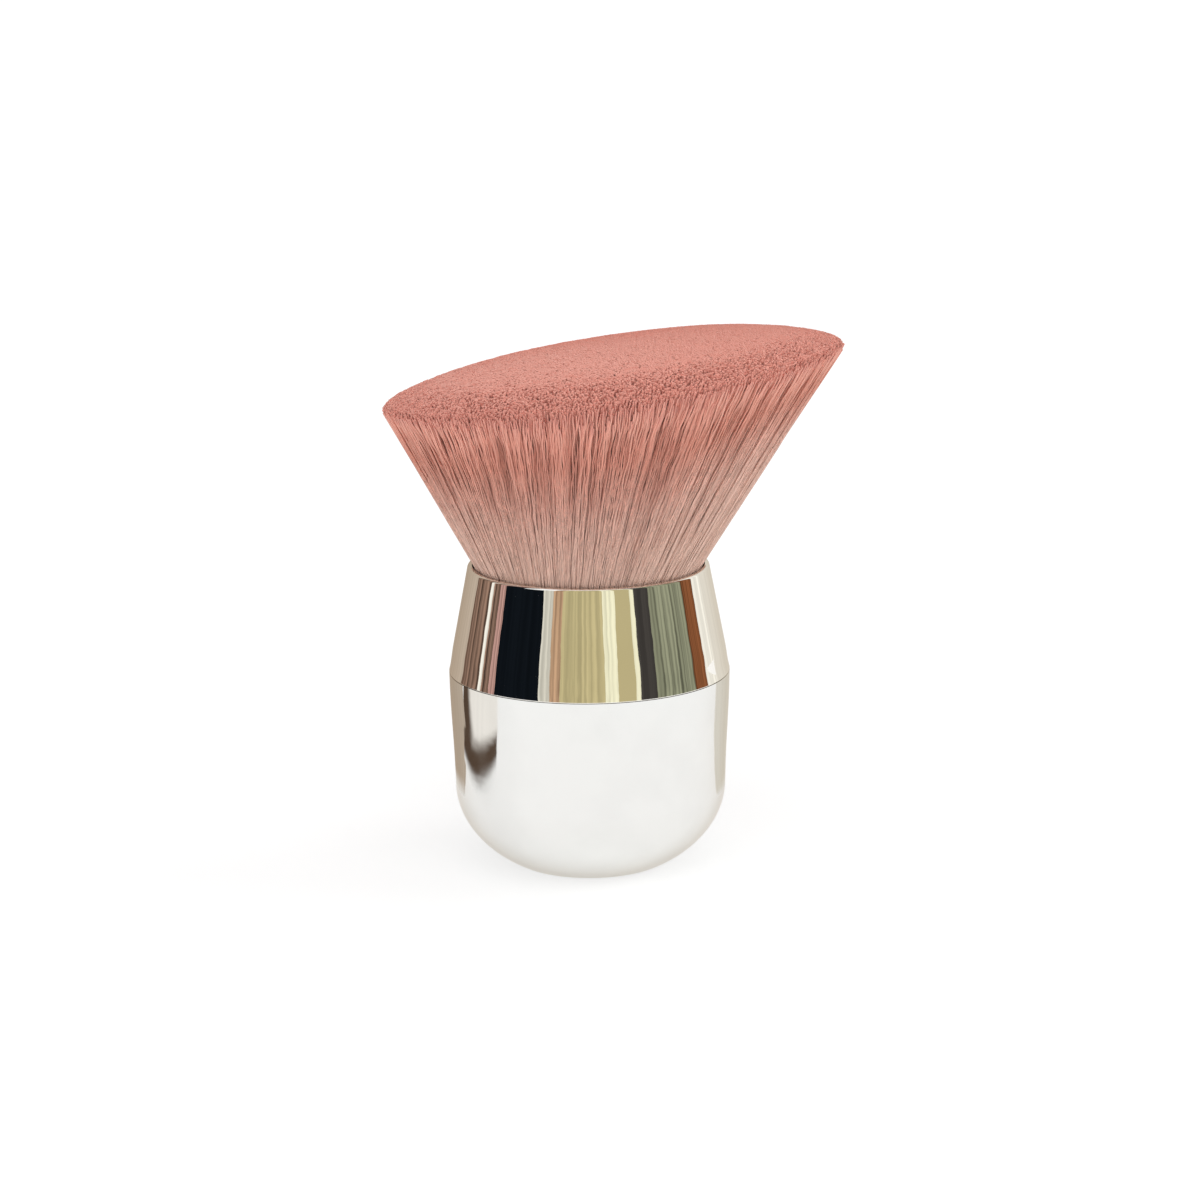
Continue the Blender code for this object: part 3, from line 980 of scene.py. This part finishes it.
@dataclass
class Studio:
    """Plain pale floor, white surroundings, soft lamps, cards for the plating to reflect, and the camera."""

    target: Vector
    distance: float = 0.45
    elevation: float = 13.0
    roll: float = -0.6
    lens_share: float = 2.4
    sensor: float = 36.0
    shift: tuple[float, float] = (0.0094, -0.0014)
    near_clip: float = 0.01
    world_light: float = 0.68
    floor_reach: float = 20.0
    floor_drop: float = 0.0001
    floor_lit_tone: float = 0.90
    floor_seen_tone: float = 0.50
    floor_grain: float = 0.02
    floor_variation: float = 0.02
    floor_roughness: float = 0.9
    floor_lift: float = 0.56

    def camera(self) -> None:
        """Places the camera at the photograph's viewing angle."""
        made = bpy.data.objects.new("camera", bpy.data.cameras.new("camera"))
        bpy.context.scene.collection.objects.link(made)
        rise = math.radians(self.elevation)
        back = Vector((0, -math.cos(rise), math.sin(rise)))
        made.location = self.target + back * self.distance
        made.rotation_mode = "XYZ"
        turned = (-back).to_track_quat("-Z", "Y").to_matrix().to_4x4()
        roll = Matrix.Rotation(math.radians(self.roll), 4, "Z")
        made.rotation_euler = (turned @ roll).to_euler()
        made.data.sensor_width = self.sensor
        made.data.lens = self.sensor * self.lens_share
        made.data.shift_x, made.data.shift_y = self.shift
        made.data.clip_start = self.near_clip
        bpy.context.scene.camera = made

    def seen_white(self, board: Board) -> Wire:
        """Adds a value that is 1 where the camera, metal or glass looks, and 0 for lighting."""
        path = board.add("ShaderNodeLightPath")
        kinds = ("Is Camera Ray", "Is Glossy Ray", "Is Transmission Ray")
        camera, glossy, transmission = [Wire(board, path.outputs[kind]) for kind in kinds]
        return board.maths("MINIMUM", camera + glossy + transmission, 1.0)

    def world(self) -> None:
        """Makes the surroundings: white to look at, and an even light on the object."""
        world = bpy.data.worlds.new("pale_studio")
        world.use_nodes = True
        board = Board(world.node_tree)
        background = world.node_tree.nodes["Background"]
        background.inputs["Color"].default_value = opaque(FLOOR_TONE)
        looked = self.seen_white(board)
        board.join(looked * (1.0 - self.world_light) + self.world_light, background.inputs["Strength"])
        bpy.context.scene.world = world

    def floor(self) -> None:
        """Makes the pale floor, which shows white and keeps the object's shadow."""
        shape = bmesh.new()
        bmesh.ops.create_circle(shape, cap_ends=True, segments=64, radius=self.floor_reach)
        mesh = bpy.data.meshes.new("floor")
        shape.to_mesh(mesh)
        shape.free()
        mesh.transform(Matrix.Translation((0, 0, -self.floor_drop)))
        floor = link_piece("floor", mesh)
        made, board, shader = new_material("pale_floor")
        seen = self.seen_white(board)
        grain = (noise(board, object_point(board), self.floor_grain, detail=3.0) - 0.5) * self.floor_variation
        tone = seen * (self.floor_seen_tone - self.floor_lit_tone) + grain + self.floor_lit_tone
        board.join(tone, shader.inputs["Base Color"])
        set_constants(shader, {"Roughness": self.floor_roughness, "Specular IOR Level": 0.0})
        set_constants(shader, {"Emission Color": opaque(FLOOR_TONE)})
        board.join(seen * self.floor_lift, shader.inputs["Emission Strength"])
        mesh.materials.append(made)

    def card(self, card: Card, order: int) -> None:
        """Makes one curved card, which only polished surfaces show.

        Args:
            card: The card's place, size and tone.
            order: Its number, for its name.
        """
        shape = bmesh.new()
        steps = max(2, round((card.end - card.start) / CARD_STEP_DEGREES))
        columns = []
        level = order * SHEET_STEP
        for step in range(steps + 1):
            turn = math.radians(card.start + (card.end - card.start) * step / steps)
            x, y = math.sin(turn), -math.cos(turn)
            inner = card.reach + card.bow * (2 * step / steps - 1) ** 2
            section = [(inner, level), (card.distance, level), (card.distance, card.top)]
            columns.append([shape.verts.new((x * away, y * away, height)) for away, height in section])
        for left, right in zip(columns, columns[1:]):
            for row in range(0 if card.reach < card.distance else 1, 2):
                shape.faces.new((left[row], right[row], right[row + 1], left[row + 1]))
        name = f"card_{order:02d}_{card.tone.name.lower()}"
        mesh = bpy.data.meshes.new(name)
        shape.to_mesh(mesh)
        shape.free()
        made = bpy.data.materials.new(name)
        made.use_nodes = True
        made.node_tree.nodes.clear()
        board = Board(made.node_tree)
        x, y, z = board.split(object_point(board))
        turn = board.maths("ARCTAN2", x, y * -1.0)
        streak_place = board.vector(turn, z * STREAK_STRETCH, order * STREAK_SHIFT)
        streaks = noise(board, streak_place, STREAK_SIZE, detail=3.0)
        shade = board.spread(streaks, NOISE_SPAN, 1.0 - card.streak, 1.0 + card.streak)
        away = board.maths("SQRT", x * x + y * y)
        start, end = math.radians(card.start), math.radians(card.end)
        sideways = (turn - (start + end) / 2) / ((end - start) / 2)
        from_edge = away - (sideways * sideways * card.bow + card.reach)
        inward = board.maths("MINIMUM", (turn - start) * away, from_edge)
        border = (card.border_tone or card.tone).value
        past_border = board.spread(inward, (BORDER_START * card.border_width, card.border_width))
        tone = board.blend(past_border, border, card.tone.value)
        if card.reach < card.distance:
            past_fade = board.spread(from_edge, (0.0, SHEET_FADE * card.border_width))
            tone = board.blend(past_fade, FLOOR_TONE, tone)
        colour = board.vector_maths("SCALE", tone)
        board.join(shade, colour.socket.node.inputs["Scale"])
        glow = board.call("ShaderNodeEmission", {"Color": colour, "Strength": 1.0})
        board.join(glow, board.add("ShaderNodeOutputMaterial").inputs["Surface"])
        mesh.materials.append(made)
        piece = link_piece(name, mesh)
        piece.visible_camera = False
        piece.visible_diffuse = False
        piece.visible_transmission = False
        piece.visible_shadow = False

    def lamp(self, name: str, aim: Vector, softness: float, strength: float) -> None:
        """Adds a far lamp: aim points to it, softness is in degrees, strength in watts a square metre."""
        data = bpy.data.lights.new(name, "SUN")
        data.angle = math.radians(softness)
        data.energy = strength
        made = bpy.data.objects.new(name, data)
        bpy.context.scene.collection.objects.link(made)
        made.location = self.target + aim
        made.rotation_mode = "QUATERNION"
        made.rotation_quaternion = (-aim).to_track_quat("-Z", "Y")
        made.visible_glossy = False

    def build(self) -> None:
        """Makes the whole studio."""
        self.camera()
        self.world()
        self.floor()
        for order, card in enumerate(CARDS):
            self.card(card, order)
        self.lamp("key_lamp", Vector((0.1, -0.7, 0.8)), softness=60, strength=0.8)
        self.lamp("left_lamp", Vector((-0.8, -0.6, 0.25)), softness=40, strength=0.5)
        self.lamp("right_lamp", Vector((1.0, 0.1, 0.35)), softness=40, strength=1.05)
        bpy.context.scene.view_settings.view_transform = "Standard"
        LOG.info("studio: %d cards, camera %.0f mm away", len(CARDS), self.distance / MILLIMETRE)


def clear_startup() -> None:
    """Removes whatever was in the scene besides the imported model."""
    packed = [*frame["nodes"].values(), *frame["bodies"].values()]
    for item in list(bpy.data.objects):
        if item not in packed:
            bpy.data.objects.remove(item, do_unlink=True)


def main() -> None:
    """Builds each sub-assembly in order."""
    logging.basicConfig(level=logging.INFO, format="%(name)s: %(message)s")
    clear_startup()
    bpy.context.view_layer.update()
    dress_hidden_pieces()
    bowl_plating = PlatedMetal("bowl_plating", (0.84, 0.84, 0.82), (0.82, 0.82, 0.80), 0.05, 0.11)
    collar_plating = PlatedMetal("collar_plating", (0.93, 0.91, 0.87), (0.91, 0.89, 0.85), 0.015, 0.04)
    BowlCup(bowl_plating).build()
    Collar(collar_plating).build()
    # Pale, beige and salmon are the dye. The stop at 0.94 is painted light that brightens the fibre sides
    # just under the tip, and the last stop is painted shade that darkens the tip ends facing up, so top and
    # side meet at one brightness.
    pale, beige = (0.82, 0.56, 0.46), (0.80, 0.48, 0.39)
    salmon, near_tip_painted_light, cut = (0.78, 0.345, 0.26), (0.91, 0.44, 0.345), (0.77, 0.34, 0.275)
    stops = ((0.0, pale), (0.40, beige), (0.74, salmon), (0.94, near_tip_painted_light), (1.0, cut))
    fibre = DyedFibre("dyed_fibre", stops)
    FibreTuft(fibre).build()
    Studio(target=Vector((0, 0, 0.042))).build()


if __name__ == "__main__":
    main()
